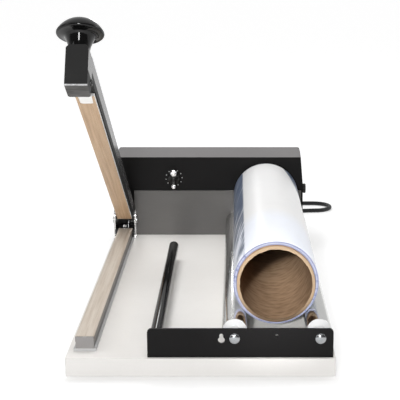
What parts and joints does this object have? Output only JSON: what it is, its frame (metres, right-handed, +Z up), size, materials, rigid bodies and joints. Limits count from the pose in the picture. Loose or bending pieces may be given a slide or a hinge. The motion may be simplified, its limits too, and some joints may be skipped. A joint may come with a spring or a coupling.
{
  "type": "i-bar sealer",
  "caption": "Bench film sealer: white board with a roller cradle and film roll, a heated jaw under a sprung arm with a mushroom knob, and a black timer housing at the rear.",
  "frame": {"origin": "on the table, under the middle of the machine's box without its power cord", "axes": "+X to the right as the user faces it, +Y to the rear along the board, +Z up"},
  "size_m": [0.3352, 0.7831, 0.3589],
  "materials": {
    "laminate": "satin",
    "black_paint": "satin",
    "grey_paint": "satin",
    "chrome": "polished",
    "steel": "satin",
    "aluminium": "satin",
    "white_plastic": "satin",
    "silicone": "matt",
    "slip_tape": "satin",
    "black_plastic": "satin",
    "black_gloss": "gloss",
    "black_rubber": "matt",
    "cardboard": "matt",
    "film": "gloss",
    "brass": "satin",
    "board": "satin",
    "coil": "matt",
    "glass": "gloss"
  },
  "bodies": {
    "machine": {"base_board": "laminate", "rubber_feet": "black_rubber", "foot_screws": "steel", "cradle_bracket": "black_paint", "bracket_screws": "black_paint", "roller_axles": "steel", "axle_cap_nuts": "chrome", "axle_rear_nuts": "steel", "film_rod": "black_gloss", "jaw_strip": "white_plastic", "jaw_bar": "aluminium", "jaw_screws": "steel", "heating_ribbon": "steel", "ribbon_terminals": "brass", "jaw_tape": "slip_tape", "hinge_bracket": "chrome", "hinge_block": "black_plastic", "hinge_screws": "steel", "hinge_pin": "steel", "pin_clip": "steel", "return_spring": "steel", "arm_switch": "black_plastic", "chassis": "grey_paint", "chassis_screws": "steel", "hood": "black_paint", "hood_screws": "black_paint", "transformer_core": "steel", "transformer_coil": "coil", "timer_board": "board", "board_standoffs": "brass", "board_parts": "black_plastic", "timer_pot": "aluminium", "fuse_holder": "black_plastic", "fuse": "glass", "strain_relief": "black_rubber", "power_cord": "black_rubber", "cord_hank": "black_rubber", "cord_tie": "black_rubber", "plug_body": "black_rubber", "plug_blades": "brass"},
    "arm": {"arm_heel": "black_plastic", "arm_bar": "aluminium", "arm_pad": "silicone", "arm_tape": "slip_tape", "end_block": "black_plastic", "end_block_screw": "steel", "handle_knob": "black_gloss", "knob_stud": "steel"},
    "plunger": {"switch_plunger": "chrome"},
    "film_roll": {"film_core": "cardboard", "film_winding": "film"},
    "roller_left": {"left_roller": "aluminium", "left_roller_bushings": "white_plastic"},
    "roller_right": {"right_roller": "aluminium", "right_roller_bushings": "white_plastic"},
    "dial": {"timer_shaft": "steel", "timer_knob": "black_gloss", "timer_pointer": "chrome"},
    "fuse_cap": {"fuse_cap": "black_plastic"}
  },
  "joints": [
    {"name": "arm_hinge", "type": "hinge", "parent": "machine", "child": "arm", "pos_m": [-0.11525, 0.1868, 0.047], "axis": [1, 0, 0], "range_deg": [0, 30.2], "stiffness_Nm_per_rad": 0.6, "springref_deg": -148.97, "deforming": ["return_spring"]},
    {"name": "plunger_slide", "type": "slide", "parent": "machine", "child": "plunger", "axis": [0, 0, -1], "range_m": [0, 0.00325]},
    {"name": "film_spin", "type": "hinge", "parent": "machine", "child": "film_roll", "pos_m": [0.0807, -0.023, 0.08235], "axis": [0, 1, 0], "continuous": true},
    {"name": "left_roller_spin", "type": "hinge", "parent": "machine", "child": "roller_left", "pos_m": [0.03755, -0.05, 0.043], "axis": [0, 1, 0], "continuous": true},
    {"name": "right_roller_spin", "type": "hinge", "parent": "machine", "child": "roller_right", "pos_m": [0.12385, -0.05, 0.043], "axis": [0, 1, 0], "continuous": true},
    {"name": "timer_turn", "type": "hinge", "parent": "machine", "child": "dial", "pos_m": [-0.04835, 0.19, 0.105], "axis": [0, 1, 0], "range_deg": [-140, 140]},
    {"name": "fuse_cap_turn", "type": "hinge", "parent": "machine", "child": "fuse_cap", "pos_m": [0.13325, 0.23, 0.083], "axis": [1, 0, 0], "range_deg": [0, 45]}
  ],
  "couplings": [
    {"joint": "plunger_slide", "follows": "arm_hinge", "m_per_rad": 0.0061522},
    {"joint": "left_roller_spin", "follows": "film_spin", "ratio": -3.4692},
    {"joint": "right_roller_spin", "follows": "film_spin", "ratio": -3.4692}
  ]
}
